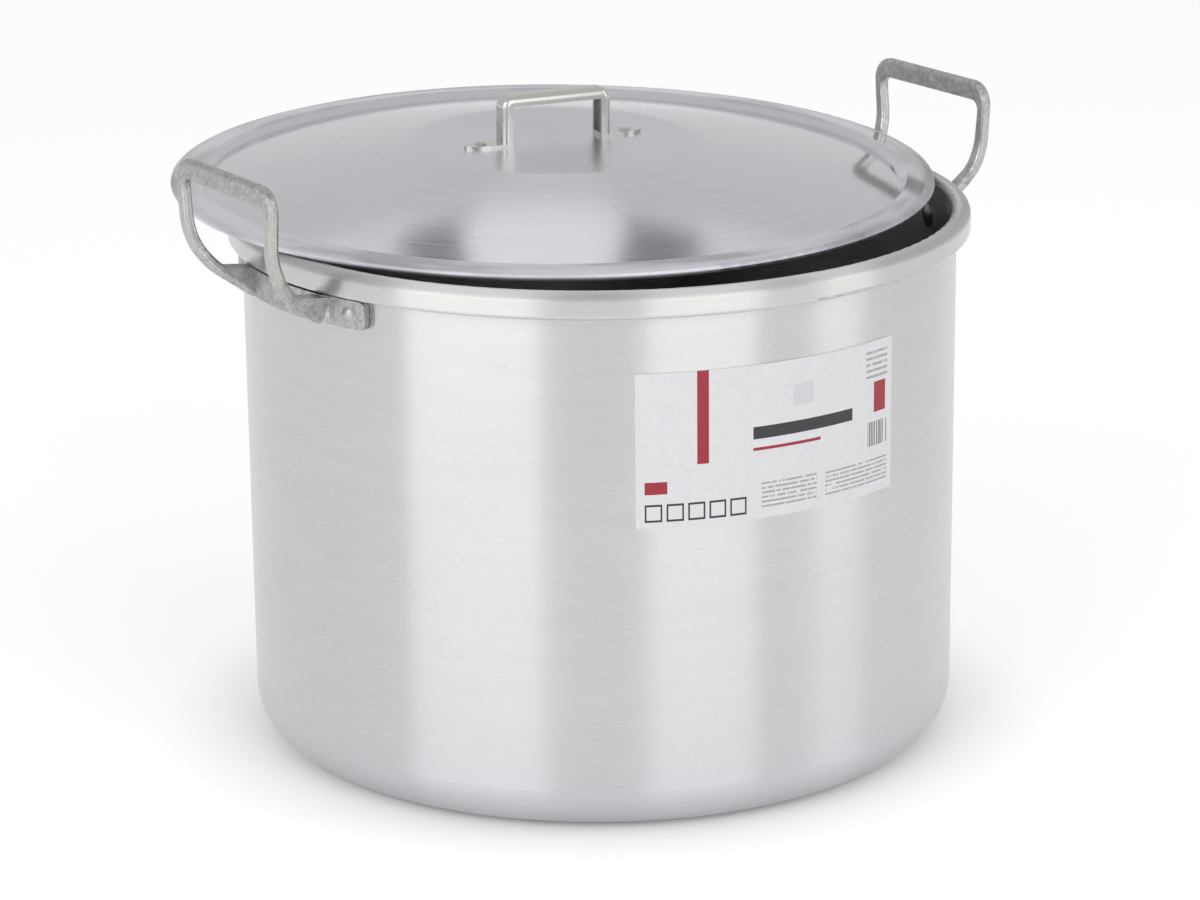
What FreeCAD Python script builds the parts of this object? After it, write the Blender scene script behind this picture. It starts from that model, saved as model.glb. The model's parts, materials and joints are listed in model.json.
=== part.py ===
import FreeCAD, Part
import math
import os
import Sketcher

# A stock pot with two riveted cast loop handles and a loose lid that lies askew on the rim.
# Frame: +Z up, origin at the middle of the base's underside, the two handles on the X axis.
# Lengths are in millimetres and angles in degrees.

SIZES = {
    # pot: drawn in one piece, straight wall, rounded base corner, thickened rim band
    "pot_inner_radius": 190.0,
    "pot_wall": 2.5,
    "pot_height": 290.0,
    "base_thickness": 4.0,
    "base_corner_radius": 24.0,
    "rim_outer_radius": 200.0,
    "rim_band_height": 14.0,
    "rim_fillet": 1.5,
    "rim_underside_round": 2.5,
    "rim_outer_round": 4.5,
    "rim_inner_round": 3.0,
    # handle strap: a curved bar riveted to the wall under the rim band
    "strap_gap": 0.2,
    "strap_thickness": 4.0,
    "strap_height": 14.8,
    "strap_drop": 22.3,
    "strap_half_span": 19.8,
    "strap_end_round": 3.5,
    "block_thickness": 5.6,
    "block_half_span": 11.4,
    "block_ramp_end": 12.6,
    # handle loop, seen along the wall: upright at the grip, curving in to the strap
    "grip_reach": 225.5,
    "grip_top": 45.7,
    "grip_height": 11.0,
    "bar_thickness": 6.0,
    "bend_radius": 41.0,
    "bend_start": 16.0,
    "bend_angle": 52.0,
    "root_top_drop": 17.0,
    "root_inner_reach": 182.0,
    # handle loop, seen from outside: half widths at the grip, the waist and the root
    "grip_half_outer": 51.75,
    "grip_half_inner": 44.2,
    "waist_drop": 2.0,
    "waist_half_outer": 48.0,
    "waist_half_inner": 40.0,
    "root_drop": 37.8,
    "root_half_outer": 36.9,
    "root_half_inner": 23.5,
    "flank_cut_reach": 62.0,
    "grip_outer_corner": 13.0,
    "grip_inner_corner": 5.0,
    "waist_round": 24.0,
    "bar_edge_round": 2.2,
    # handle rivets
    "rivet_radius": 2.5,
    "rivet_clearance": 0.1,
    "rivet_spread": 16.5,
    "rivet_seat_gap": 0.2,
    "rivet_tail_radius": 3.6,
    "rivet_tail_height": 1.6,
    "rivet_head_radius": 7.0,
    "rivet_head_height": 2.4,
    # lid, in its own frame: origin on its axis at mid height of the rolled edge
    "lid_radius": 209.0,
    "lid_sheet": 1.5,
    "lid_edge_radius": 2.2,
    "lid_flange_outer_height": 1.9,
    "lid_ridge_radius": 193.8,
    "lid_ridge_height": 3.2,
    "lid_channel_radius": 189.8,
    "lid_channel_height": -1.0,
    "lid_flank_radius": 1200.0,
    "lid_disc_radius": 75.0,
    "lid_disc_height": 19.5,
    # lid handle: a bent channel strip with two flat feet
    "lid_handle_half_span": 32.4,
    "lid_handle_height": 27.8,
    "lid_strip_width": 12.6,
    "lid_strip_depth": 5.9,
    "lid_strip_web": 1.7,
    "lid_strip_bend": 6.5,
    "lid_strip_edge_round": 3.8,
    "lid_channel_overcut": 1.0,
    "lid_channel_foot_gap": 0.6,
    "lid_foot_thickness": 1.6,
    "lid_foot_shoulder": 39.5,
    "lid_foot_tip": 54.0,
    "lid_foot_tip_round": 3.0,
    "lid_rivet_centre": 42.9,
    "lid_rivet_radius": 2.0,
    "lid_rivet_head_radius": 3.4,
    "lid_rivet_head_height": 1.3,
    "lid_rivet_tail_radius": 3.6,
    "lid_rivet_tail_height": 1.4,
    # where the lid lies: pushed back across the pot, its front edge dipping
    "lid_centre_x": 2.0,
    "lid_centre_y": 49.0,
    "lid_centre_z": 295.4,
    "lid_lean_x": -0.2,
    "lid_lean_y": 1.7,
    "lid_handle_turn": -8.8,
    # label on the wall
    "label_gap": 0.05,
    "label_thickness": 0.25,
    "label_height": 81.0,
    "label_bottom": 165.5,
    "label_span": 46.0,
    "label_direction": 265.0,
}

# Slacks for telling the edges of a solid apart, in millimetres and degrees
LEVEL = 0.01
NEAR = 0.1
LOOSE = 0.5
GRIP_SIDE = 9.0


class Dim:
    """A size as a number, with the sheet expression that gives it."""

    def __init__(self, value, text):
        self.value = value
        self.text = text

    def join(self, other, sign, value):
        right = other.text if isinstance(other, Dim) else repr(other)
        return Dim(value, "(" + self.text + " " + sign + " " + right + ")")

    def __add__(self, other):
        return self.join(other, "+", self.value + number(other))

    def __sub__(self, other):
        return self.join(other, "-", self.value - number(other))

    def __mul__(self, other):
        return self.join(other, "*", self.value * number(other))

    def __truediv__(self, other):
        return self.join(other, "/", self.value / number(other))

    def __neg__(self):
        return Dim(-self.value, "(0 - " + self.text + ")")


def number(size):
    return size.value if isinstance(size, Dim) else size


def cosine(angle):
    return Dim(math.cos(math.radians(angle.value)), "cos(" + angle.text + " * 1 deg)")


def sine(angle):
    return Dim(math.sin(math.radians(angle.value)), "sin(" + angle.text + " * 1 deg)")


ZERO = Dim(0.0, "0")


def make_sheet(doc):
    sheet = doc.addObject("Spreadsheet::Sheet", "Sizes")
    dims = {}
    for row, (name, value) in enumerate(SIZES.items(), start=1):
        sheet.set("A%d" % row, name)
        sheet.set("B%d" % row, str(value))
        sheet.setAlias("B%d" % row, name)
        dims[name] = Dim(value, "Sizes." + name)
    doc.recompute()
    return dims


def make_body(doc, label):
    body = doc.addObject("PartDesign::Body", label)
    body.Label = label
    return body


def origin_feature(body, role):
    for feature in body.Origin.OriginFeatures:
        if feature.Role == role:
            return feature
    raise RuntimeError("no origin feature " + role)


def make_sketch(body, name, role, height=None):
    sketch = body.newObject("Sketcher::SketchObject", name)
    sketch.AttachmentSupport = [(origin_feature(body, role), "")]
    sketch.MapMode = "FlatFace"
    if height is not None:
        sketch.setExpression("AttachmentOffset.Base.z", height.text)
    return sketch


def pin_point(sketch, index, position, point):
    """Hold one end of an edge at a point given by two sizes."""
    for kind, size in (("DistanceX", point[0]), ("DistanceY", point[1])):
        if size is ZERO:
            other = -2 if kind == "DistanceX" else -1
            sketch.addConstraint(Sketcher.Constraint("PointOnObject", index, position, other))
            continue
        start = Sketcher.Constraint(kind, -1, 1, index, position, size.value)
        which = sketch.addConstraint(start)
        sketch.setExpression("Constraints[%d]" % which, size.text)


def arc_centre(start, end, radius, left):
    """Centre of the short arc from start to end that lies to the left or right of the chord."""
    dx = end[0] - start[0]
    dy = end[1] - start[1]
    chord = math.hypot(dx, dy)
    rise = math.sqrt(max(radius * radius - chord * chord / 4.0, 0.0))
    side = 1.0 if left else -1.0
    middle = ((start[0] + end[0]) / 2.0, (start[1] + end[1]) / 2.0)
    return (middle[0] - side * dy / chord * rise, middle[1] + side * dx / chord * rise)


def draw_outline(sketch, steps):
    """Draw a closed outline. Each step is (x, y) for a straight edge to the next point, or
    (x, y, radius, left) for an arc whose centre is to the left or right of its chord."""
    count = len(steps)
    for index, step in enumerate(steps):
        following = steps[(index + 1) % count]
        start = (step[0].value, step[1].value)
        end = (following[0].value, following[1].value)
        if len(step) == 2:
            first = FreeCAD.Vector(start[0], start[1], 0)
            last = FreeCAD.Vector(end[0], end[1], 0)
            sketch.addGeometry(Part.LineSegment(first, last))
            continue
        radius = step[2].value
        centre = arc_centre(start, end, radius, step[3])
        circle = Part.Circle(FreeCAD.Vector(centre[0], centre[1], 0), FreeCAD.Vector(0, 0, 1), radius)
        from_angle = math.atan2(start[1] - centre[1], start[0] - centre[0])
        to_angle = math.atan2(end[1] - centre[1], end[0] - centre[0])
        ends = (from_angle, to_angle) if step[3] else (to_angle, from_angle)
        sketch.addGeometry(Part.ArcOfCircle(circle, ends[0], ends[1]))
    for index, step in enumerate(steps):
        before = (index - 1) % count
        start_end = start_position(step)
        finish_end = 3 - start_position(steps[before])
        sketch.addConstraint(Sketcher.Constraint("Coincident", before, finish_end, index, start_end))
        pin_point(sketch, index, start_end, step)
        if len(step) == 4:
            which = sketch.addConstraint(Sketcher.Constraint("Radius", index, step[2].value))
            sketch.setExpression("Constraints[%d]" % which, step[2].text)


def start_position(step):
    """Sketch arcs always run anticlockwise, so an arc with its centre on the right starts at end 2."""
    return 2 if len(step) == 4 and not step[3] else 1


def draw_circle(sketch, centre_x, centre_y, radius):
    middle = FreeCAD.Vector(centre_x.value, centre_y.value, 0)
    index = sketch.addGeometry(Part.Circle(middle, FreeCAD.Vector(0, 0, 1), radius.value))
    pin_point(sketch, index, 3, (centre_x, centre_y))
    which = sketch.addConstraint(Sketcher.Constraint("Radius", index, radius.value))
    sketch.setExpression("Constraints[%d]" % which, radius.text)


def revolve(body, name, sketch, angle=None):
    feature = body.newObject("PartDesign::Revolution", name)
    feature.Profile = sketch
    feature.ReferenceAxis = (sketch, ["V_Axis"])
    if angle is None:
        feature.Angle = 360.0
    else:
        feature.Midplane = True
        feature.setExpression("Angle", angle.text)
    return feature


def pad(body, name, sketch, length, midplane=False):
    feature = body.newObject("PartDesign::Pad", name)
    feature.Profile = sketch
    feature.setExpression("Length", length.text)
    if midplane:
        feature.SideType = "Symmetric"
    return feature


def cut_through(body, name, sketch):
    feature = body.newObject("PartDesign::Pocket", name)
    feature.Profile = sketch
    feature.Type = "ThroughAll"
    feature.SideType = "Symmetric"
    return feature


def turn_copies(body, name, original, angle):
    """One more copy of a cut on each side, turned about the upright axis."""
    for suffix, backwards in (("Plus", False), ("Minus", True)):
        pattern = body.newObject("PartDesign::PolarPattern", name + suffix)
        pattern.Originals = [original]
        pattern.Axis = (origin_feature(body, "Z_Axis"), [""])
        pattern.Reversed = backwards
        pattern.Occurrences = 2
        pattern.setExpression("Angle", angle.text)
        body.Tip = pattern


def round_edges(doc, body, name, radius, wanted, dim):
    """Round every edge of the body so far for which wanted(edge, dim) is true."""
    doc.recompute()
    base = body.Tip
    names = []
    for index, edge in enumerate(base.Shape.Edges, start=1):
        if wanted(edge, dim):
            names.append("Edge%d" % index)
    feature = body.newObject("PartDesign::Fillet", name)
    feature.Base = (base, names)
    feature.setExpression("Radius", radius.text)
    return feature


def wall_outer(dim):
    return dim["pot_inner_radius"] + dim["pot_wall"]


def rivet_height(dim):
    return dim["pot_height"] - dim["strap_drop"]


def make_pot_body(doc, dim):
    body = make_body(doc, "pot_body")
    outer = wall_outer(dim)
    inner = dim["pot_inner_radius"]
    top = dim["pot_height"]
    corner = dim["base_corner_radius"]
    inner_corner = corner - dim["base_thickness"]
    ledge = top - dim["rim_band_height"]
    fillet = dim["rim_fillet"]
    under = dim["rim_underside_round"]
    rim = dim["rim_outer_radius"]
    sketch = make_sketch(body, "PotProfile", "XZ_Plane")
    draw_outline(sketch, [
        (ZERO, ZERO),
        (outer - corner, ZERO, corner, True),
        (outer, corner),
        (outer, ledge - fillet, fillet, False),
        (outer + fillet, ledge),
        (rim - under, ledge, under, True),
        (rim, ledge + under),
        (rim, top - dim["rim_outer_round"], dim["rim_outer_round"], True),
        (rim - dim["rim_outer_round"], top),
        (inner + dim["rim_inner_round"], top, dim["rim_inner_round"], True),
        (inner, top - dim["rim_inner_round"]),
        (inner, corner, inner_corner, False),
        (inner - inner_corner, dim["base_thickness"]),
        (ZERO, dim["base_thickness"]),
    ])
    revolve(body, "PotShell", sketch)
    holes = make_sketch(body, "RivetHoles", "YZ_Plane")
    draw_circle(holes, ZERO, rivet_height(dim), dim["rivet_radius"] + dim["rivet_clearance"])
    middle_holes = cut_through(body, "MiddleHoles", holes)
    turn_copies(body, "SideHoles", middle_holes, dim["rivet_spread"])
    return body


def draw_loop_side(sketch, dim):
    """The loop seen along the wall: a thick band that hooks in and down to the strap."""
    base = dim["pot_height"]
    half = dim["bar_thickness"] / 2.0
    centre_x = dim["grip_reach"] - dim["bend_radius"]
    centre_z = base + dim["bend_start"]
    outer_radius = dim["bend_radius"] + half
    inner_radius = dim["bend_radius"] - half
    cos_bend = cosine(dim["bend_angle"])
    sin_bend = sine(dim["bend_angle"])
    strap_bottom = rivet_height(dim) - dim["strap_height"] / 2.0
    strap_front = wall_outer(dim) + dim["strap_gap"] + dim["strap_thickness"]
    draw_outline(sketch, [
        (dim["grip_reach"] - half, base + dim["grip_top"]),
        (dim["grip_reach"] - half, centre_z, inner_radius, False),
        (centre_x + inner_radius * cos_bend, centre_z - inner_radius * sin_bend),
        (dim["root_inner_reach"], base - dim["root_top_drop"]),
        (dim["root_inner_reach"], strap_bottom),
        (strap_front, strap_bottom),
        (centre_x + outer_radius * cos_bend, centre_z - outer_radius * sin_bend, outer_radius, True),
        (dim["grip_reach"] + half, centre_z),
        (dim["grip_reach"] + half, base + dim["grip_top"]),
    ])


def draw_loop_window(sketch, dim):
    """The finger opening seen from outside: it narrows downwards, faster below the waist."""
    base = dim["pot_height"]
    roof = base + dim["grip_top"] - dim["grip_height"]
    draw_outline(sketch, [
        (-dim["grip_half_inner"], roof),
        (-dim["waist_half_inner"], base - dim["waist_drop"]),
        (-dim["root_half_inner"], base - dim["root_drop"]),
        (dim["root_half_inner"], base - dim["root_drop"]),
        (dim["waist_half_inner"], base - dim["waist_drop"]),
        (dim["grip_half_inner"], roof),
    ])


def draw_loop_flank(sketch, dim, side):
    """What is cut away beside the loop on one side, seen from outside."""
    base = dim["pot_height"]
    top = base + dim["grip_top"]
    far = dim["flank_cut_reach"]
    draw_outline(sketch, [
        (dim["grip_half_outer"] * side, top),
        (dim["waist_half_outer"] * side, base - dim["waist_drop"]),
        (dim["root_half_outer"] * side, base - dim["root_drop"]),
        (far * side, base - dim["root_drop"]),
        (far * side, top),
    ])


def is_crosswise(edge):
    """Straight edges that run through the loop's thickness."""
    box = edge.BoundBox
    return box.YLength < LEVEL and box.ZLength < LEVEL


def is_grip_outer_corner(edge, dim):
    top = dim["pot_height"].value + dim["grip_top"].value
    return is_crosswise(edge) and edge.BoundBox.ZMin > top - NEAR


def is_grip_inner_corner(edge, dim):
    roof = dim["pot_height"].value + dim["grip_top"].value - dim["grip_height"].value
    return is_crosswise(edge) and abs(edge.BoundBox.ZMin - roof) < NEAR


def is_waist_corner(edge, dim):
    waist = dim["pot_height"].value - dim["waist_drop"].value
    return is_crosswise(edge) and abs(edge.BoundBox.ZMin - waist) < NEAR


def is_loop_edge(edge, dim):
    """The four long edges round the loop that a hand meets, and none of the short seams."""
    box = edge.BoundBox
    short_seam = box.ZLength < LEVEL and edge.Length < dim["grip_half_inner"].value
    above_strap = box.ZMin > rivet_height(dim).value
    reaches_out = box.XMax > dim["rim_outer_radius"].value + GRIP_SIDE
    return above_strap and reaches_out and not short_seam


def make_handle(doc, dim, label, turn):
    body = make_body(doc, label)
    side_view = make_sketch(body, label + "_side", "XZ_Plane")
    draw_loop_side(side_view, dim)
    pad(body, label + "_band", side_view, dim["grip_half_outer"] * 2.0, midplane=True)
    window = make_sketch(body, label + "_window", "YZ_Plane")
    draw_loop_window(window, dim)
    cut_through(body, label + "_opening", window)
    for name, side in (("_flank_a", 1.0), ("_flank_b", -1.0)):
        flank = make_sketch(body, label + name, "YZ_Plane")
        draw_loop_flank(flank, dim, side)
        cut_through(body, label + name + "_cut", flank)
    for name, radius, wanted in (
        ("_grip_outside", "grip_outer_corner", is_grip_outer_corner),
        ("_grip_inside", "grip_inner_corner", is_grip_inner_corner),
        ("_waist", "waist_round", is_waist_corner),
        ("_soft_edges", "bar_edge_round", is_loop_edge),
    ):
        round_edges(doc, body, label + name, dim[radius], wanted, dim)
    add_strap(body, dim, label)
    trim = make_sketch(body, label + "_trim", "XY_Plane")
    draw_circle(trim, ZERO, ZERO, wall_outer(dim) + dim["strap_gap"])
    cut_through(body, label + "_wall_trim", trim)
    round_edges(doc, body, label + "_strap_ends", dim["strap_end_round"], is_strap_corner, dim)
    holes = make_sketch(body, label + "_holes", "YZ_Plane")
    draw_circle(holes, ZERO, rivet_height(dim), dim["rivet_radius"] + dim["rivet_clearance"])
    middle = cut_through(body, label + "_middle_hole", holes)
    turn_copies(body, label + "_side_holes", middle, dim["rivet_spread"])
    spin = FreeCAD.Rotation(FreeCAD.Vector(0, 0, 1), turn)
    body.Placement = FreeCAD.Placement(FreeCAD.Vector(0, 0, 0), spin)
    return body


def polar(radius, angle, side):
    """A point on a circle round the pot's axis, at an angle to one side of the X axis."""
    return (radius * cosine(angle), radius * sine(angle) * side)


def add_strap(body, dim, label):
    """The strap in plan: thin ends, a ramp at each side and a thicker block in the middle."""
    back = wall_outer(dim) + dim["strap_gap"]
    thin = back + dim["strap_thickness"]
    thick = back + dim["block_thickness"]
    end = dim["strap_half_span"]
    ramp = dim["block_ramp_end"]
    block = dim["block_half_span"]
    bottom = rivet_height(dim) - dim["strap_height"] / 2.0
    sketch = make_sketch(body, label + "_strap_plan", "XY_Plane", height=bottom)
    draw_outline(sketch, [
        polar(back, end, 1.0) + (back, False),
        polar(back, end, -1.0),
        polar(thin, end, -1.0) + (thin, True),
        polar(thin, ramp, -1.0),
        polar(thick, block, -1.0) + (thick, True),
        polar(thick, block, 1.0),
        polar(thin, ramp, 1.0) + (thin, True),
        polar(thin, end, 1.0),
    ])
    pad(body, label + "_strap", sketch, dim["strap_height"])


def reach_angle(edge):
    middle = edge.CenterOfMass
    return math.degrees(math.atan2(abs(middle.y), middle.x))


def is_strap_corner(edge, dim):
    """The four short edges through the strap at its far ends."""
    at_end = reach_angle(edge) > dim["strap_half_span"].value - LOOSE
    short = edge.Length < dim["strap_thickness"].value + LOOSE
    return at_end and short and edge.BoundBox.ZLength < LOOSE


def draw_rivet(sketch, grip, radius, low_head, high_head):
    """A rivet about its own axis: a domed head below zero and a formed dome above the grip."""
    draw_outline(sketch, [
        (ZERO, -low_head[1], dome_radius(low_head), True),
        (low_head[0], ZERO),
        (radius, ZERO),
        (radius, grip),
        (high_head[0], grip, dome_radius(high_head), True),
        (ZERO, grip + high_head[1]),
    ])


def dome_radius(head):
    return (head[0] * head[0] + head[1] * head[1]) / (head[1] * 2.0)


def make_rivet(doc, label, grip, radius, low_head, high_head, placement):
    body = make_body(doc, label)
    sketch = make_sketch(body, label + "_profile", "XZ_Plane")
    draw_rivet(sketch, grip, radius, low_head, high_head)
    revolve(body, label + "_turned", sketch)
    body.Placement = placement
    return body


def make_handle_rivets(doc, dim):
    gap = dim["rivet_seat_gap"]
    inner_seat = dim["pot_inner_radius"] - gap
    outer_face = {
        "front": wall_outer(dim) + dim["strap_gap"] + dim["strap_thickness"],
        "middle": wall_outer(dim) + dim["strap_gap"] + dim["block_thickness"],
    }
    outer_face["back"] = outer_face["front"]
    low_head = (dim["rivet_head_radius"], dim["rivet_head_height"])
    high_head = (dim["rivet_tail_radius"], dim["rivet_tail_height"])
    spread = dim["rivet_spread"].value
    rivets = []
    for side, turn, sign in (("right", 0.0, -1.0), ("left", 180.0, 1.0)):
        for place, offset in (("front", sign * spread), ("middle", 0.0), ("back", -sign * spread)):
            grip = outer_face[place] - inner_seat
            angle = turn + offset
            spin = FreeCAD.Rotation(FreeCAD.Vector(0, 0, 1), angle)
            lay_down = FreeCAD.Rotation(FreeCAD.Vector(0, 1, 0), 90.0)
            foot = FreeCAD.Vector(inner_seat.value, 0, rivet_height(dim).value)
            placement = FreeCAD.Placement(spin.multVec(foot), spin.multiply(lay_down))
            label = side + "_handle_rivet_" + place
            rivets.append(make_rivet(doc, label, grip, dim["rivet_radius"], low_head, high_head, placement))
    return rivets


def lid_placement(dim):
    """The lid's place: set back across the pot and tipped a little towards the front."""
    lean_x = FreeCAD.Rotation(FreeCAD.Vector(1, 0, 0), dim["lid_lean_y"].value)
    lean_y = FreeCAD.Rotation(FreeCAD.Vector(0, 1, 0), dim["lid_lean_x"].value)
    place = FreeCAD.Vector(dim["lid_centre_x"].value, dim["lid_centre_y"].value, dim["lid_centre_z"].value)
    return FreeCAD.Placement(place, lean_x.multiply(lean_y))


def make_lid_shell(doc, dim):
    body = make_body(doc, "lid_shell")
    sheet = dim["lid_sheet"]
    roll = dim["lid_edge_radius"]
    roll_centre = dim["lid_radius"] - roll
    flange_top = dim["lid_flange_outer_height"]
    top = [
        (dim["lid_disc_radius"], dim["lid_disc_height"]),
        (dim["lid_channel_radius"], dim["lid_channel_height"]),
        (dim["lid_ridge_radius"], dim["lid_ridge_height"]),
    ]
    flank = dim["lid_flank_radius"]
    sketch = make_sketch(body, "LidProfile", "XZ_Plane")
    draw_outline(sketch, [
        (ZERO, top[0][1] - sheet),
        (top[0][0], top[0][1] - sheet, flank, False),
        (top[1][0], top[1][1] - sheet),
        (top[2][0], top[2][1] - sheet),
        (roll_centre - roll, flange_top - sheet),
        (roll_centre, -roll, roll, True),
        (dim["lid_radius"], ZERO, roll, True),
        (roll_centre, roll),
        (top[2][0], top[2][1]),
        (top[1][0], top[1][1], flank, True),
        (top[0][0], top[0][1]),
        (ZERO, top[0][1]),
    ])
    revolve(body, "LidPressing", sketch)
    holes = make_sketch(body, "LidRivetHoles", "XY_Plane")
    for side in (dim["lid_rivet_centre"], -dim["lid_rivet_centre"]):
        draw_circle(holes, side, ZERO, dim["lid_rivet_radius"] + dim["rivet_clearance"])
    cut_through(body, "LidHoles", holes)
    body.Placement = lid_place_turned(dim)
    return body


def lid_place_turned(dim):
    """The lid's place with its handle turned a little off the pot handles' line."""
    turn = FreeCAD.Rotation(FreeCAD.Vector(0, 0, 1), dim["lid_handle_turn"].value)
    return lid_placement(dim).multiply(FreeCAD.Placement(FreeCAD.Vector(0, 0, 0), turn))


def draw_strip(sketch, dim):
    """The bent strip seen from the side, standing on its feet: two legs and a bar."""
    foot = dim["lid_disc_height"]
    depth = dim["lid_strip_depth"]
    outer = dim["lid_handle_half_span"]
    top = foot + dim["lid_handle_height"]
    bend = dim["lid_strip_bend"]
    inner = outer - depth
    roof = top - depth
    inner_bend = bend - depth
    draw_outline(sketch, [
        (-outer, foot),
        (-inner, foot),
        (-inner, roof - inner_bend, inner_bend, False),
        (-(inner - inner_bend), roof),
        (inner - inner_bend, roof, inner_bend, False),
        (inner, roof - inner_bend),
        (inner, foot),
        (outer, foot),
        (outer, top - bend, bend, True),
        (outer - bend, top),
        (-(outer - bend), top, bend, True),
        (-outer, top - bend),
    ])


def draw_foot(sketch, dim, side):
    """A tongue that reaches out from under the leg and draws in to a tip."""
    near = dim["lid_handle_half_span"] - dim["lid_strip_depth"]
    shoulder = dim["lid_foot_shoulder"]
    tip = dim["lid_foot_tip"]
    half = dim["lid_strip_width"] / 2.0
    flank = dome_radius((tip - shoulder, half))
    draw_outline(sketch, [
        (near * side, -half),
        (shoulder * side, -half, flank, side > 0),
        (tip * side, ZERO, flank, side > 0),
        (shoulder * side, half),
        (near * side, half),
    ])


def is_foot_tip(edge, dim):
    """The upright edge at the sharp end of a foot."""
    box = edge.BoundBox
    upright = box.XLength < LEVEL and box.YLength < LEVEL
    return upright and abs(edge.CenterOfMass.x) > dim["lid_foot_tip"].value - NEAR


def make_lid_handle(doc, dim):
    body = make_body(doc, "lid_handle")
    strip = make_sketch(body, "StripSide", "XZ_Plane")
    draw_strip(strip, dim)
    pad(body, "Strip", strip, dim["lid_strip_width"], midplane=True)
    round_edges(doc, body, "StripSoftEdges", dim["lid_strip_edge_round"], is_strip_outer_edge, dim)
    for name, side in (("FootRight", 1.0), ("FootLeft", -1.0)):
        foot = make_sketch(body, name + "Outline", "XY_Plane", height=dim["lid_disc_height"])
        draw_foot(foot, dim, side)
        pad(body, name, foot, dim["lid_foot_thickness"])
        round_edges(doc, body, name + "Tip", dim["lid_foot_tip_round"], is_foot_tip, dim)
    channel = make_sketch(body, "ChannelSide", "XZ_Plane")
    draw_channel(channel, dim)
    groove = body.newObject("PartDesign::Pocket", "Channel")
    groove.Profile = channel
    groove.SideType = "Symmetric"
    groove.setExpression("Length", (dim["lid_strip_width"] - dim["lid_strip_web"] * 2.0).text)
    holes = make_sketch(body, "FootHoles", "XY_Plane")
    for side in (dim["lid_rivet_centre"], -dim["lid_rivet_centre"]):
        draw_circle(holes, side, ZERO, dim["lid_rivet_radius"] + dim["rivet_clearance"])
    cut_through(body, "RivetHolesInFeet", holes)
    body.Placement = lid_place_turned(dim)
    return body


def draw_channel(sketch, dim):
    """The hollow on the strip's inner side, between its two turned-in flanges."""
    foot = dim["lid_disc_height"] + dim["lid_foot_thickness"] + dim["lid_channel_foot_gap"]
    web = dim["lid_strip_web"]
    outer = dim["lid_handle_half_span"] - web
    top = dim["lid_disc_height"] + dim["lid_handle_height"] - web
    bend = dim["lid_strip_bend"] - web
    cut_depth = dim["lid_strip_depth"] + dim["lid_channel_overcut"]
    middle = dim["lid_handle_half_span"] - cut_depth
    roof = dim["lid_disc_height"] + dim["lid_handle_height"] - cut_depth
    draw_outline(sketch, [
        (-outer, foot),
        (-middle, foot),
        (-middle, roof),
        (middle, roof),
        (middle, foot),
        (outer, foot),
        (outer, top - bend, bend, True),
        (outer - bend, top),
        (-(outer - bend), top, bend, True),
        (-outer, top - bend),
    ])


def is_strip_outer_edge(edge, dim):
    """Edges along the strip's outer side, over both legs and the bar."""
    box = edge.BoundBox
    sideways = abs(abs(edge.CenterOfMass.y) - dim["lid_strip_width"].value / 2.0) < LEVEL
    flat = box.YLength < LEVEL
    outer = dim["lid_handle_half_span"].value
    top = dim["lid_disc_height"].value + dim["lid_handle_height"].value
    reaches = box.XMax > outer - NEAR or box.XMin < NEAR - outer or box.ZMax > top - NEAR
    return sideways and flat and reaches and box.ZMax > dim["lid_disc_height"].value + LOOSE


def make_lid_rivets(doc, dim):
    low_head = (dim["lid_rivet_tail_radius"], dim["lid_rivet_tail_height"])
    high_head = (dim["lid_rivet_head_radius"], dim["lid_rivet_head_height"])
    grip = dim["lid_sheet"] + dim["lid_foot_thickness"]
    seat = dim["lid_disc_height"] - dim["lid_sheet"]
    rivets = []
    for label, side in (("lid_rivet_left", -1.0), ("lid_rivet_right", 1.0)):
        foot = FreeCAD.Vector(side * dim["lid_rivet_centre"].value, 0, seat.value)
        placement = lid_place_turned(dim).multiply(FreeCAD.Placement(foot, FreeCAD.Rotation()))
        rivets.append(make_rivet(doc, label, grip, dim["lid_rivet_radius"], low_head, high_head, placement))
    return rivets


def make_label(doc, dim):
    body = make_body(doc, "label")
    back = wall_outer(dim) + dim["label_gap"]
    front = back + dim["label_thickness"]
    low = dim["label_bottom"]
    high = low + dim["label_height"]
    sketch = make_sketch(body, "LabelSection", "XZ_Plane")
    draw_outline(sketch, [(back, low), (front, low), (front, high), (back, high)])
    revolve(body, "LabelSheet", sketch, dim["label_span"])
    turn = FreeCAD.Rotation(FreeCAD.Vector(0, 0, 1), dim["label_direction"].value)
    body.Placement = FreeCAD.Placement(FreeCAD.Vector(0, 0, 0), turn)
    return body


def check_document(doc, bodies):
    for thing in doc.Objects:
        bad = [word for word in thing.State if word in ("Invalid", "Error")]
        if bad:
            raise RuntimeError(thing.Name + " failed: " + ", ".join(bad))
    for body in bodies:
        shape = body.Shape
        if shape.isNull() or not shape.isValid():
            raise RuntimeError(body.Label + " has no valid shape")
        if len(shape.Solids) != 1:
            raise RuntimeError("%s has %d solids" % (body.Label, len(shape.Solids)))


def main():
    doc = FreeCAD.newDocument("StockPot")
    dim = make_sheet(doc)
    bodies = [make_pot_body(doc, dim)]
    bodies.append(make_handle(doc, dim, "right_handle", 0.0))
    bodies.append(make_handle(doc, dim, "left_handle", 180.0))
    bodies.extend(make_handle_rivets(doc, dim))
    bodies.append(make_lid_shell(doc, dim))
    bodies.append(make_lid_handle(doc, dim))
    bodies.extend(make_lid_rivets(doc, dim))
    bodies.append(make_label(doc, dim))
    doc.recompute()
    check_document(doc, bodies)
    os.makedirs("parts", exist_ok=True)
    for body in bodies:
        body.Shape.exportStep("parts/" + body.Label + ".step")
        print("%-28s %10.1f mm3" % (body.Label, body.Shape.Volume))


main()
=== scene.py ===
"""Looks of the stock pot: materials, sticker print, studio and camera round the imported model."""

import json
import math

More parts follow.
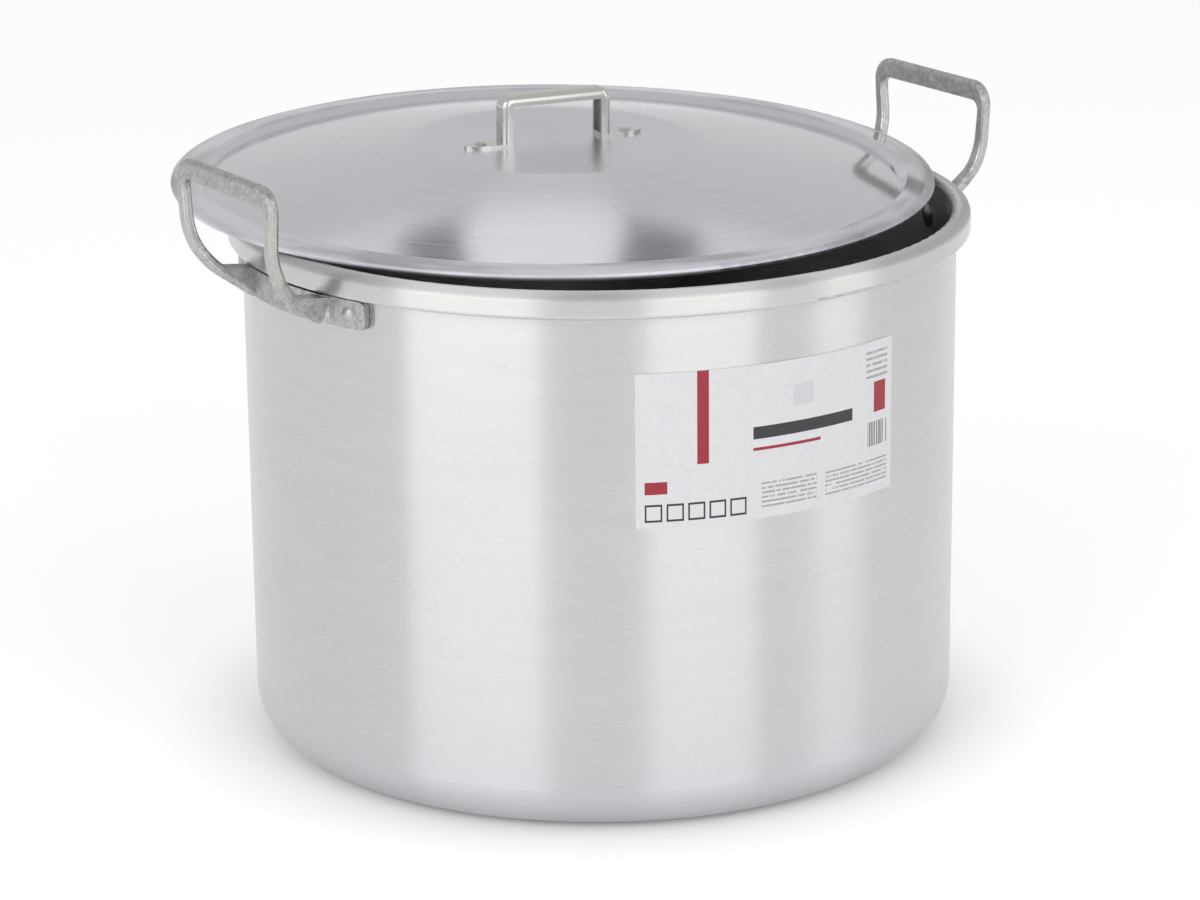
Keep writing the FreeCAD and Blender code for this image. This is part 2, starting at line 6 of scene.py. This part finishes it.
import bpy
from mathutils import Matrix, Vector


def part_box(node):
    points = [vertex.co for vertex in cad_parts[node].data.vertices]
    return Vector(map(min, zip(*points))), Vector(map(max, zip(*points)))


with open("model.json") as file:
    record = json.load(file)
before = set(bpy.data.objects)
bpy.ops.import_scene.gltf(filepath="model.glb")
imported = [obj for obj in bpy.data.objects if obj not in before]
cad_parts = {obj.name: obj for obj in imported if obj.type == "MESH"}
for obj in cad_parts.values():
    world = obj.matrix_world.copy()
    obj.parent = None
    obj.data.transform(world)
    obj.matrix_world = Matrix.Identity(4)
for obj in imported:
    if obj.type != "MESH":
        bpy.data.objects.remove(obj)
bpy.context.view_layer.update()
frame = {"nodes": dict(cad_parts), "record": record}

# Camera, in metres and degrees, in the model's frame; its lens and sensor in millimetres
CAMERA_TARGET = Vector((-0.0006, 0.0004, 0.1497))
CAMERA_DISTANCE = 2.2289
CAMERA_AZIMUTH = -33.0
CAMERA_ELEVATION = 16.75
CAMERA_ROLL = -0.55
CAMERA_LENS = 121.7
SENSOR_WIDTH = 36.0
CAMERA_REACH = 50.0

# Studio: what the lights face, and how bright and of what colour the surroundings are
STUDIO_CENTRE = Vector((0.0, 0.0, 0.15))
SURROUNDINGS = 0.72
WHITE = (1.0, 1.0, 1.0, 1.0)

# Floor: its side, how far it lies below the pot, and its look
FLOOR_SIDE = 14.0
FLOOR_DROP = 0.0005
FLOOR_TONE = (0.82, 0.82, 0.82, 1.0)
FLOOR_ROUGHNESS = 0.8

# Floor: a little light of its own keeps it white; it starts at one distance from the pot's axis and
# is full at another, so the dimmer floor close to the pot is a painted contact shadow
FLOOR_GLOW = 0.32
GLOW_FROM = 0.13
GLOW_FULL = 0.26

# Softboxes: name, azimuth from the camera's and elevation in degrees, distance and (width, height) in
# metres, radiance
SOFTBOXES = [
    ("softbox_left", -39.5, 22.0, 2.4, (1.89, 1.8), 1.6),
    ("softbox_right", 31.0, 22.0, 2.4, (1.47, 1.8), 1.45),
    ("softbox_side", 78.0, 22.0, 2.4, (0.80, 1.8), 1.2),
    ("softbox_back", 180.5, 50.0, 2.6, (1.65, 1.06), 0.17),
    ("back_strip", 181.4, 46.2, 2.3, (0.37, 0.41), 0.17),
    ("back_glow", 181.4, 38.9, 2.3, (0.32, 0.18), 0.07),
]

# Matt cards: the same, with their shade of grey last
CARDS = [
    ("back_card_left", 190.3, 45.6, 2.4, (0.142, 0.45), 0.26),
    ("back_card_right", 171.9, 45.6, 2.4, (0.184, 0.45), 0.26),
]

# Noise: most of its values lie between these two; the noises below are (scale, detail) or (scale,
# detail, roughness)
NOISE_LOW = 0.3
NOISE_HIGH = 0.7

# Relief: the distance that the bump nodes take for a height of 1, in metres
RELIEF_DEPTH = 0.0003
PAPER_DEPTH = 0.0002

# Grain: the anisotropy's turn that stretches reflections across the turning lines
QUARTER_TURN = 0.25

# Pot: how far its wall lies inside the rim's edge, and noises drawn out along the wall as (times
# finer upright, scale, detail)
WALL_INSET = 0.010
WALL_FINE = (60.0, 26.0, 4.0)
WALL_BROAD = (12.0, 8.0, 3.0)
WALL_RELIEF = (90.0, 55.0, 3.0)
WALL_RELIEF_STRENGTH = 0.05

# Pot: its colours, clouds, streaks and scuffs, and how rough it is
WALL_TONES = ((0.597, 0.60, 0.585, 1.0), (0.632, 0.632, 0.618, 1.0))
CLOUD_NOISE = (5.0, 4.0)
WALL_STREAKS = [(0.35, 0.975), (0.65, 1.0)]
SCUFF_NOISE = (38.0, 5.0, 0.7)
WALL_SCUFFS = [(0.60, 1.0), (0.72, 0.965)]
WALL_SATIN = (0.26, 0.32)

# Pot: the bluish foot, strongest below the first height and gone at the second
FOOT_TONE = (0.595, 0.600, 0.635, 1.0)
FOOT_SHARE = 0.7
FOOT_HEIGHTS = (0.03, 0.10)

# Pot: radius of the rim's rounded outer corner, how far its paler look (a painted highlight) takes to
# set in, how far before the corner its exact normal starts, and its highlight colour and added roughness
RIM_ROUND = 0.0045
CORNER_FADE_OUT = 0.001
CORNER_FADE_UP = 0.002
CORNER_MARGIN = 0.0008
CORNER_HIGHLIGHT_TONE = (0.70, 0.70, 0.70, 1.0)
CORNER_ROUGHNESS = 0.22

# Lid: radius of the flat disc in its middle, how far the ridge and the rolled edge lie inside its
# outline, and how far the look of each takes to change
LID_DISC_RADIUS = 0.075
RIDGE_INSET = 0.0152
ROLL_WIDTH = 0.0035
DISC_FADE = 0.012
RIDGE_FADE = (0.002, 0.001)
ROLL_FADE = 0.002

# Lid: factors of the radius and of the angle that draw its noises out into rings, and the noises
RING_ACROSS = 45.0
RING_ALONG = 0.10
LID_FINE = (30.0, 4.0)
LID_CLOUDS = (6.0, 4.0)
LID_BROAD = (10.0, 3.0)
LID_RELIEF = (70.0, 3.0)
LID_RELIEF_STRENGTH = 0.045

# Lid: its colours and roughness, with what the disc and the rolled edge add to it, and its anisotropy
LID_TONES = ((0.616, 0.610, 0.655, 1.0), (0.646, 0.640, 0.686, 1.0))
LID_RINGS = [(0.35, 0.965), (0.65, 1.0)]
LID_SATIN = (0.09, 0.14)
DISC_ROUGHNESS = 0.19
ROLL_ROUGHNESS = 0.40
LID_GRAIN = 0.35

# Lid: the streaks across its rim: how fast they change with the radius, their noise and shades, and
# how much of them shows
STREAK_ACROSS = 20.0
STREAK_NOISE = (2.6, 2.0)
RIM_STREAKS = [(0.38, 0.64), (0.50, 1.0), (0.64, 1.16)]
STREAK_SHARE = 0.8

# Cast handles: noises, colours and roughness
CAST_BLOTCHES = (150.0, 5.0, 0.7)
CAST_SPECKS = (420.0, 3.0, 0.7)
CAST_GRAIN = (1100.0, 2.0)
CAST_TONES = [(0.32, (0.39, 0.385, 0.378, 1.0)), (0.68, (0.52, 0.513, 0.503, 1.0))]
CAST_PITS = [(0.36, 0.74), (0.58, 1.06)]
CAST_SATIN = (0.56, 0.44)
CAST_RELIEF_STRENGTH = 0.30

# Cast handles: the rubbed legs lie between two fades, one measured down from the top of the bar and
# one up from its foot, and the blotches make both waver
GRIP_FADE = (0.014, 0.020)
HEEL_FADE = (0.014, 0.034)
FADE_WAVER = 0.05

# Cast handles: how rubbed a leg is at low and at high specks, as (low, high, share, share), then the
# rubbed colour and how much roughness and relief the rubbing takes away
RUBBED_SPECKS = (0.35, 0.6, 0.55, 1.0)
RUBBED_TONE = (0.47, 0.458, 0.440, 1.0)
RUBBED_POLISH = 0.30
RUBBED_SMOOTHING = 0.85

# Small parts of metal: noises, where their mottle lies, then each part's look
SMALL_MOTTLE = (160.0, 4.0)
SMALL_GRAIN = (700.0, 2.0)
MOTTLE_LOW = 0.35
MOTTLE_HIGH = 0.65
HANDLE_RIVET = dict(tone=(0.50, 0.495, 0.48), roughness=0.42)
LID_STRIP = dict(tone=(0.57, 0.57, 0.545), roughness=0.20, contrast=0.97, spread=0.02, relief=0.0)
LID_RIVET = dict(tone=(0.50, 0.50, 0.49), roughness=0.30)

# Sticker: its paper
PAPER_TONES = ((0.555, 0.555, 0.575, 1.0), (0.590, 0.590, 0.612, 1.0))
PAPER_FIBRES = (300.0, 3.0)
PAPER_SATIN = (0.34, 0.44)
PAPER_RELIEF_STRENGTH = 0.04

# Sticker: its inks
RED_INK = (0.27, 0.010, 0.024, 1.0)
DARK_INK = (0.022, 0.022, 0.025, 1.0)
GREY_INK = (0.30, 0.30, 0.31, 1.0)
PALE_INK = (0.50, 0.50, 0.53, 1.0)

# Sticker: blocks of print as (left, right, bottom, top), each from 0 to 1 across and up it
LABEL_BLOCKS = [
    ((0.55, 0.63, 0.70, 0.84), PALE_INK),
    ((0.205, 0.245, 0.40, 1.00), RED_INK),
    ((0.03, 0.105, 0.22, 0.30), RED_INK),
    ((0.40, 0.66, 0.445, 0.465), RED_INK),
    ((0.905, 0.965, 0.53, 0.73), RED_INK),
    ((0.40, 0.80, 0.52, 0.60), DARK_INK),
]

# Sticker: a row of outlined squares, with the width of their upright and level lines
FIRST_SQUARE = (0.030, 0.088, 0.04, 0.155)
SQUARE_COUNT = 5
SQUARE_PITCH = 0.072
SQUARE_LINE = (0.006, 0.014)

# Sticker: areas of broken lines with how many lines each has, then the share of its pitch that a
# line fills, the noise's cells across the sticker and from row to row, and where it breaks a line
LABEL_LINES = [
    ((0.43, 0.645, 0.07, 0.25), 6),
    ((0.68, 0.975, 0.07, 0.24), 6),
    ((0.865, 0.975, 0.76, 0.96), 5),
]
LINE_SHARE = 0.42
DASHES_ACROSS = 90.0
ROW_STEP = 7.3
LINE_BREAK = 0.40

# Sticker: an area of upright ticks, the noise's cells across the sticker, and where it makes a tick
LABEL_TICKS = (0.875, 0.975, 0.31, 0.47)
TICKS_ACROSS = 260.0
TICK_LEVEL = 0.5


class Graph:
    """A short way to write a node material."""

    def __init__(self, name):
        self.material = bpy.data.materials.new(name)
        self.material.use_nodes = True
        self.tree = self.material.node_tree
        self.shader = self.tree.nodes["Principled BSDF"]

    def node(self, kind, **settings):
        """A new node; a setting is the value of the input of that name, or else a property."""
        made = self.tree.nodes.new(kind)
        for key, value in settings.items():
            if key in made.inputs:
                made.inputs[key].default_value = value
            else:
                setattr(made, key, value)
        return made

    def link(self, source, target):
        self.tree.links.new(source, target)

    def fill(self, sockets, values):
        """Each socket gets its value: a number or colour as it is, an output through a link."""
        for socket, value in zip(sockets, values):
            if isinstance(value, (int, float, tuple)):
                socket.default_value = value
            else:
                self.link(value, socket)

    def surface(self, **sources):
        """Links to inputs of the shader, with _ in the place of a space in their names."""
        for key, source in sources.items():
            self.link(source, self.shader.inputs[key.replace("_", " ")])

    def surface_values(self, **values):
        """Fixed values of inputs of the shader, named in the same way."""
        for key, value in values.items():
            self.shader.inputs[key.replace("_", " ")].default_value = value

    def position(self):
        """Object coordinates: every node's place is in its mesh, so these are the model's metres."""
        return self.node("ShaderNodeTexCoord").outputs["Object"]

    def separate(self, vector):
        made = self.node("ShaderNodeSeparateXYZ")
        self.link(vector, made.inputs[0])
        return made.outputs

    def combine(self, x, y, z):
        made = self.node("ShaderNodeCombineXYZ")
        self.fill(made.inputs, (x, y, z))
        return made.outputs[0]

    def math(self, operation, first, second=0.0):
        made = self.node("ShaderNodeMath", operation=operation)
        self.fill(made.inputs, (first, second))
        return made.outputs[0]

    def multiply(self, first, second):
        return self.math("MULTIPLY", first, second)

    def off_axis(self, x, y):
        """Distance from the axis, from the two distances along x and y."""
        return self.math("SQRT", self.math("ADD", self.multiply(x, x), self.multiply(y, y)))

    def noise(self, vector, scale, detail=3.0, roughness=0.55):
        made = self.node("ShaderNodeTexNoise", Scale=scale, Detail=detail, Roughness=roughness)
        self.link(vector, made.inputs["Vector"])
        return made.outputs["Fac"]

    def ramp(self, value, stops):
        """Value to colour or grey through a list of (position, value) stops."""
        made = self.node("ShaderNodeValToRGB")
        self.link(value, made.inputs[0])
        elements = made.color_ramp.elements
        while len(elements) < len(stops):
            elements.new(0.5)
        for element, (place, shade) in zip(elements, stops):
            element.position = place
            element.color = shade if isinstance(shade, tuple) else (shade, shade, shade, 1.0)
        return made.outputs["Color"]

    def map_range(self, value, low, high, to_low, to_high, interpolation="LINEAR"):
        made = self.node("ShaderNodeMapRange", interpolation_type=interpolation)
        names = ("Value", "From Min", "From Max", "To Min", "To Max")
        self.fill([made.inputs[name] for name in names], (value, low, high, to_low, to_high))
        return made.outputs["Result"]

    def tones(self, noise, pair):
        """A noise turned into colours between the two of pair."""
        return self.ramp(noise, [(NOISE_LOW, pair[0]), (NOISE_HIGH, pair[1])])

    def between(self, noise, pair):
        """A noise turned into numbers between the two of pair."""
        return self.map_range(noise, NOISE_LOW, NOISE_HIGH, pair[0], pair[1])

    def mix(self, amount, first, second, blend_type="MIX"):
        made = self.node("ShaderNodeMix", data_type="RGBA", blend_type=blend_type)
        self.fill((made.inputs[0], made.inputs[6], made.inputs[7]), (amount, first, second))
        return made.outputs[2]

    def tint(self, first, second):
        """Two colours multiplied."""
        return self.mix(1.0, first, second, "MULTIPLY")

    def bump(self, height, strength, distance, normal=None):
        """Relief on the mesh's own normal, or on the one given as normal."""
        made = self.node("ShaderNodeBump", Strength=strength, Distance=distance)
        if normal is not None:
            self.link(normal, made.inputs["Normal"])
        self.link(height, made.inputs["Height"])
        self.surface(Normal=made.outputs["Normal"])


def turn_grain(graph, from_x, from_y, strength):
    """Turning lines run round an axis, at from_x, from_y off it, and stretch reflections across them."""
    graph.surface(Tangent=graph.combine(graph.multiply(from_y, -1.0), from_x, 0.0))
    graph.surface_values(Anisotropic=strength, Anisotropic_Rotation=QUARTER_TURN)


def rim_corner_normal(graph, x, y, radius, past, over):
    """The exact normal of the rim's rounded corner, and the mesh's own normal everywhere else.

    Past and over say how far a point lies outside and above the centre of the corner's round.
    """
    out = graph.math("DIVIDE", graph.math("MAXIMUM", past, 0.0), radius)
    up = graph.math("MAXIMUM", over, 0.0)
    exact = graph.combine(graph.multiply(x, out), graph.multiply(y, out), up)
    unit = graph.node("ShaderNodeVectorMath", operation="NORMALIZE")
    graph.link(exact, unit.inputs[0])
    meshed = graph.node("ShaderNodeNewGeometry").outputs["Normal"]
    here = graph.multiply(graph.math("GREATER_THAN", past, -CORNER_MARGIN),
                          graph.math("GREATER_THAN", over, -CORNER_MARGIN))
    return graph.mix(here, meshed, unit.outputs[0])


def wall_noise(graph, around, z, finer, scale, detail):
    """Noise drawn out round the pot, so many times finer upright."""
    return graph.noise(graph.combine(around, 0.0, graph.multiply(z, finer)), scale, detail)


def pot_material():
    """Wall turned on a lathe: fine lines round the pot, which stretch reflections upright."""
    graph = Graph("spun_aluminium_wall")
    place = graph.position()
    x, y, z = graph.separate(place)
    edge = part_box("pot_body")[1]
    around = graph.multiply(graph.math("ARCTAN2", y, x), edge.x - WALL_INSET)
    fine = wall_noise(graph, around, z, *WALL_FINE)
    broad = wall_noise(graph, around, z, *WALL_BROAD)
    tone = graph.tones(graph.noise(place, *CLOUD_NOISE), WALL_TONES)
    lined = graph.tint(tone, graph.ramp(broad, WALL_STREAKS))
    scuffed = graph.tint(lined, graph.ramp(graph.noise(place, *SCUFF_NOISE), WALL_SCUFFS))
    foot = graph.map_range(z, *FOOT_HEIGHTS, FOOT_SHARE, 0.0)
    # Towards the foot the wall is mixed with a bluish tone
    foot_tinted = graph.mix(foot, scuffed, FOOT_TONE)
    radius = graph.off_axis(x, y)
    past = graph.math("SUBTRACT", radius, edge.x - RIM_ROUND)
    over = graph.math("SUBTRACT", z, edge.z - RIM_ROUND)
    corner = graph.multiply(graph.map_range(past, -CORNER_FADE_OUT, 0.0, 0.0, 1.0),
                            graph.map_range(over, 0.0, CORNER_FADE_UP, 0.0, 1.0))
    soft = graph.multiply(corner, CORNER_ROUGHNESS)
    # The rim's rounded corner is paler than the wall: a painted highlight along the rim's top edge
    graph.surface(Base_Color=graph.mix(corner, foot_tinted, CORNER_HIGHLIGHT_TONE),
                  Roughness=graph.math("ADD", graph.between(fine, WALL_SATIN), soft))
    graph.surface_values(Metallic=1.0)
    lines = wall_noise(graph, around, z, *WALL_RELIEF)
    normal = rim_corner_normal(graph, x, y, radius, past, over)
    graph.bump(lines, WALL_RELIEF_STRENGTH, RELIEF_DEPTH, normal)
    turn_grain(graph, x, y, 1.0)
    return graph.material


def lid_material():
    """Pressing finished on a lathe: fine rings about its middle, and faint streaks across its rim."""
    graph = Graph("spun_aluminium_lid")
    place = graph.position()
    low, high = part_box("lid_shell")
    centre = (low + high) / 2.0
    x, y = graph.separate(place)[:2]
    from_x = graph.math("SUBTRACT", x, centre.x)
    from_y = graph.math("SUBTRACT", y, centre.y)
    radius = graph.off_axis(from_x, from_y)
    angle = graph.math("ARCTAN2", from_y, from_x)
    turned = graph.combine(graph.multiply(radius, RING_ACROSS), graph.multiply(angle, RING_ALONG), 0.0)
    tone = graph.tones(graph.noise(place, *LID_CLOUDS), LID_TONES)
    ringed = graph.tint(tone, graph.ramp(graph.noise(turned, *LID_BROAD), LID_RINGS))
    circle = graph.combine(graph.math("COSINE", angle), graph.math("SINE", angle),
                           graph.multiply(radius, STREAK_ACROSS))
    streaked = graph.tint(ringed, graph.ramp(graph.noise(circle, *STREAK_NOISE), RIM_STREAKS))
    outline = high.x - centre.x
    ridge = outline - RIDGE_INSET
    rim = graph.map_range(radius, ridge - RIDGE_FADE[0], ridge + RIDGE_FADE[1], 0.0, STREAK_SHARE)
    satin = graph.between(graph.noise(turned, *LID_FINE), LID_SATIN)
    middle = graph.map_range(radius, LID_DISC_RADIUS, LID_DISC_RADIUS + DISC_FADE, DISC_ROUGHNESS, 0.0)
    roll = outline - ROLL_WIDTH
    edge = graph.map_range(radius, roll - ROLL_FADE, roll, 0.0, ROLL_ROUGHNESS)
    graph.surface(Base_Color=graph.mix(rim, ringed, streaked),
                  Roughness=graph.math("ADD", satin, graph.math("ADD", middle, edge)))
    graph.surface_values(Metallic=1.0)
    graph.bump(graph.noise(turned, *LID_RELIEF), LID_RELIEF_STRENGTH, RELIEF_DEPTH)
    turn_grain(graph, from_x, from_y, LID_GRAIN)
    return graph.material


def cast_material():
    """Cast bar: matte and mottled at the grip, rubbed brighter on the legs below it."""
    graph = Graph("cast_aluminium")
    place = graph.position()
    z = graph.separate(place)[2]
    low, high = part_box("left_handle")
    blotch = graph.noise(place, *CAST_BLOTCHES)
    speck = graph.noise(place, *CAST_SPECKS)
    grain = graph.noise(place, *CAST_GRAIN)
    mottled = graph.tint(graph.ramp(blotch, CAST_TONES), graph.ramp(speck, CAST_PITS))
    waver = graph.multiply(graph.math("SUBTRACT", blotch, 0.5), FADE_WAVER)
    height = graph.math("ADD", z, waver)
    below_grip = graph.map_range(height, high.z - GRIP_FADE[0], high.z - GRIP_FADE[1], 0.0, 1.0)
    above_heel = graph.map_range(height, low.z + HEEL_FADE[0], low.z + HEEL_FADE[1], 0.0, 1.0)
    leg = graph.multiply(below_grip, above_heel)
    rubbed = graph.multiply(leg, graph.map_range(speck, *RUBBED_SPECKS))
    worn = graph.between(blotch, CAST_SATIN)
    graph.surface(Base_Color=graph.mix(rubbed, mottled, RUBBED_TONE),
                  Roughness=graph.math("SUBTRACT", worn, graph.multiply(rubbed, RUBBED_POLISH)))
    graph.surface_values(Metallic=1.0)
    kept = graph.math("SUBTRACT", 1.0, graph.multiply(rubbed, RUBBED_SMOOTHING))
    graph.bump(graph.multiply(graph.math("ADD", grain, speck), kept), CAST_RELIEF_STRENGTH, RELIEF_DEPTH)
    return graph.material


def small_metal(name, tone, roughness, contrast=0.82, spread=0.13, relief=0.12):
    """Rivets and the lid's strip: a faint mottle from contrast times the tone to the tone itself."""
    graph = Graph(name)
    place = graph.position()
    mottle = graph.noise(place, *SMALL_MOTTLE)
    dark = tuple(part * contrast for part in tone) + (1.0,)
    graph.surface(Base_Color=graph.ramp(mottle, [(MOTTLE_LOW, dark), (MOTTLE_HIGH, tone + (1.0,))]),
                  Roughness=graph.between(mottle, (roughness - spread / 2.0, roughness + spread / 2.0)))
    graph.surface_values(Metallic=1.0)
    graph.bump(graph.noise(place, *SMALL_GRAIN), relief, RELIEF_DEPTH)
    return graph.material


def inside(graph, value, low, high):
    """1 where low < value < high, else 0."""
    above = graph.math("GREATER_THAN", value, low)
    return graph.multiply(above, graph.math("LESS_THAN", value, high))


def block(graph, across, up, area):
    """A plain rectangle of print: area is (left, right, bottom, top) as parts of the sticker."""
    left, right, bottom, top = area
    return graph.multiply(inside(graph, across, left, right), inside(graph, up, bottom, top))


def frame_block(graph, across, up, area):
    """The outline of a rectangle of print."""
    left, right, bottom, top = area
    side, level = SQUARE_LINE
    hollow = block(graph, across, up, (left + side, right - side, bottom + level, top - level))
    return graph.math("SUBTRACT", block(graph, across, up, area), hollow)


def line_block(graph, across, up, area, count):
    """A block of thin level lines with broken ends, where fine print would be."""
    bottom, top = area[2:]
    rows = graph.map_range(up, bottom, top, 0.0, float(count))
    lines = graph.math("LESS_THAN", graph.math("FRACT", rows), LINE_SHARE)
    row = graph.multiply(graph.math("FLOOR", rows), ROW_STEP)
    dashes = graph.noise(graph.combine(graph.multiply(across, DASHES_ACROSS), row, 0.0), 1.0, 1.0)
    ink = graph.multiply(lines, graph.math("GREATER_THAN", dashes, LINE_BREAK))
    return graph.multiply(block(graph, across, up, area), ink)


def tick_block(graph, across, up, area):
    """A block of upright ticks of uneven width."""
    bars = graph.noise(graph.combine(graph.multiply(across, TICKS_ACROSS), 0.0, 0.0), 1.0, 0.0)
    return graph.multiply(block(graph, across, up, area), graph.math("GREATER_THAN", bars, TICK_LEVEL))


def label_print(graph, across, up):
    """Every mark on the sticker as (where it is, ink), in the order in which they are printed."""
    marks = [(block(graph, across, up, area), ink) for area, ink in LABEL_BLOCKS]
    left, right, bottom, top = FIRST_SQUARE
    for step in range(SQUARE_COUNT):
        shift = SQUARE_PITCH * step
        marks.append((frame_block(graph, across, up, (left + shift, right + shift, bottom, top)), DARK_INK))
    for area, count in LABEL_LINES:
        marks.append((line_block(graph, across, up, area, count), GREY_INK))
    marks.append((tick_block(graph, across, up, LABEL_TICKS), DARK_INK))
    return marks


def paper_material():
    """White coated sticker with a plain print of bars, squares and lines.

    Its upright edges are angles round the pot, which follow from its box: it is part of a cylinder
    whose foremost line lies at the box's lowest y.
    """
    graph = Graph("sticker_paper")
    place = graph.position()
    x, y, z = graph.separate(place)
    low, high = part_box("label")
    left, right = (-math.acos(side / -low.y) for side in (low.x, high.x))
    across = graph.map_range(graph.math("ARCTAN2", y, x), left, right, 0.0, 1.0)
    up = graph.map_range(z, low.z, high.z, 0.0, 1.0)
    fibre = graph.noise(place, *PAPER_FIBRES)
    colour = graph.tones(fibre, PAPER_TONES)
    for mark, ink in label_print(graph, across, up):
        colour = graph.mix(mark, colour, ink)
    graph.surface(Base_Color=colour, Roughness=graph.between(fibre, PAPER_SATIN))
    graph.bump(fibre, PAPER_RELIEF_STRENGTH, PAPER_DEPTH)
    return graph.material


def dress_nodes():
    """Every node gets the material of its slot in the record, shaded smooth."""
    looks = {
        "pot_aluminium": pot_material(),
        "cast_handle": cast_material(),
        "handle_rivet": small_metal("rivet_aluminium", **HANDLE_RIVET),
        "lid_aluminium": lid_material(),
        "lid_strip": small_metal("strip_aluminium", **LID_STRIP),
        "lid_rivet": small_metal("lid_rivet_aluminium", **LID_RIVET),
        "label_paper": paper_material(),
    }
    slots = {part["node"]: part["material_slot"] for part in frame["record"]["subparts"]}
    for node, piece in frame["nodes"].items():
        piece.data.materials.clear()
        piece.data.materials.append(looks[slots[node]])
        for polygon in piece.data.polygons:
            polygon.use_smooth = True


def make_floor():
    """White floor, which glows a little except close to the pot, where the missing glow is a painted shadow
    round its base.
    """
    bpy.ops.mesh.primitive_plane_add(size=FLOOR_SIDE, location=(0.0, 0.0, -FLOOR_DROP))
    floor = bpy.context.object
    floor.name = "studio_floor"
    graph = Graph("studio_white")
    length = graph.node("ShaderNodeVectorMath", operation="LENGTH")
    graph.link(graph.position(), length.inputs[0])
    # The glow is weakest near the pot's axis: a painted contact shadow round the base
    glow = graph.map_range(length.outputs["Value"], GLOW_FROM, GLOW_FULL, 0.0, FLOOR_GLOW, "SMOOTHSTEP")
    graph.surface(Emission_Strength=glow)
    graph.surface_values(Base_Color=FLOOR_TONE, Roughness=FLOOR_ROUGHNESS, Emission_Color=WHITE)
    floor.data.materials.append(graph.material)


def studio_direction(azimuth, elevation):
    """Unit vector from the pot in a direction in degrees, its azimuth counted from the camera's."""
    turn = math.radians(CAMERA_AZIMUTH + azimuth)
    rise = math.radians(elevation)
    return Vector((math.sin(turn) * math.cos(rise), -math.cos(turn) * math.cos(rise), math.sin(rise)))


def make_camera():
    back = studio_direction(0.0, CAMERA_ELEVATION)
    right = Vector((0.0, 0.0, 1.0)).cross(back).normalized()
    up = back.cross(right)
    roll = math.radians(CAMERA_ROLL)
    rolled_right = right * math.cos(roll) + up * math.sin(roll)
    rolled_up = up * math.cos(roll) - right * math.sin(roll)
    turn = Matrix((rolled_right, rolled_up, back)).transposed().to_4x4()
    data = bpy.data.cameras.new("camera")
    data.lens = CAMERA_LENS
    data.sensor_width = SENSOR_WIDTH
    data.clip_end = CAMERA_REACH
    camera = bpy.data.objects.new("camera", data)
    bpy.context.scene.collection.objects.link(camera)
    camera.matrix_world = Matrix.Translation(CAMERA_TARGET + back * CAMERA_DISTANCE) @ turn
    bpy.context.scene.camera = camera


def face_pot(item, azimuth, elevation, distance):
    """Puts a light or card at a distance from the studio's centre, facing it, unseen by the camera."""
    back = studio_direction(azimuth, elevation)
    item.location = STUDIO_CENTRE + back * distance
    item.rotation_euler = back.to_track_quat("Z", "Y").to_euler()
    item.visible_camera = False


def add_softbox(name, azimuth, elevation, distance, size, radiance):
    """A rectangular light that faces the pot; its power follows from its size and radiance."""
    light = bpy.data.lights.new(name, "AREA")
    light.shape = "RECTANGLE"
    light.size, light.size_y = size
    light.energy = radiance * math.pi * size[0] * size[1]
    lamp = bpy.data.objects.new(name, light)
    bpy.context.scene.collection.objects.link(lamp)
    face_pot(lamp, azimuth, elevation, distance)


def add_card(name, azimuth, elevation, distance, size, shade):
    """A matt card above and behind the pot, for the lid to mirror."""
    bpy.ops.mesh.primitive_plane_add(size=1.0)
    card = bpy.context.object
    card.name = name
    card.scale = (*size, 1.0)
    graph = Graph(name)
    graph.surface_values(Base_Color=(shade, shade, shade, 1.0), Roughness=1.0)
    card.data.materials.append(graph.material)
    face_pot(card, azimuth, elevation, distance)


def make_lights():
    world = bpy.data.worlds.new("studio")
    world.use_nodes = True
    bpy.context.scene.world = world
    background = world.node_tree.nodes["Background"]
    background.inputs["Color"].default_value = WHITE
    background.inputs["Strength"].default_value = SURROUNDINGS
    for softbox in SOFTBOXES:
        add_softbox(*softbox)
    for card in CARDS:
        add_card(*card)


make_camera()
dress_nodes()
make_floor()
make_lights()
bpy.context.scene.view_settings.view_transform = "Standard"
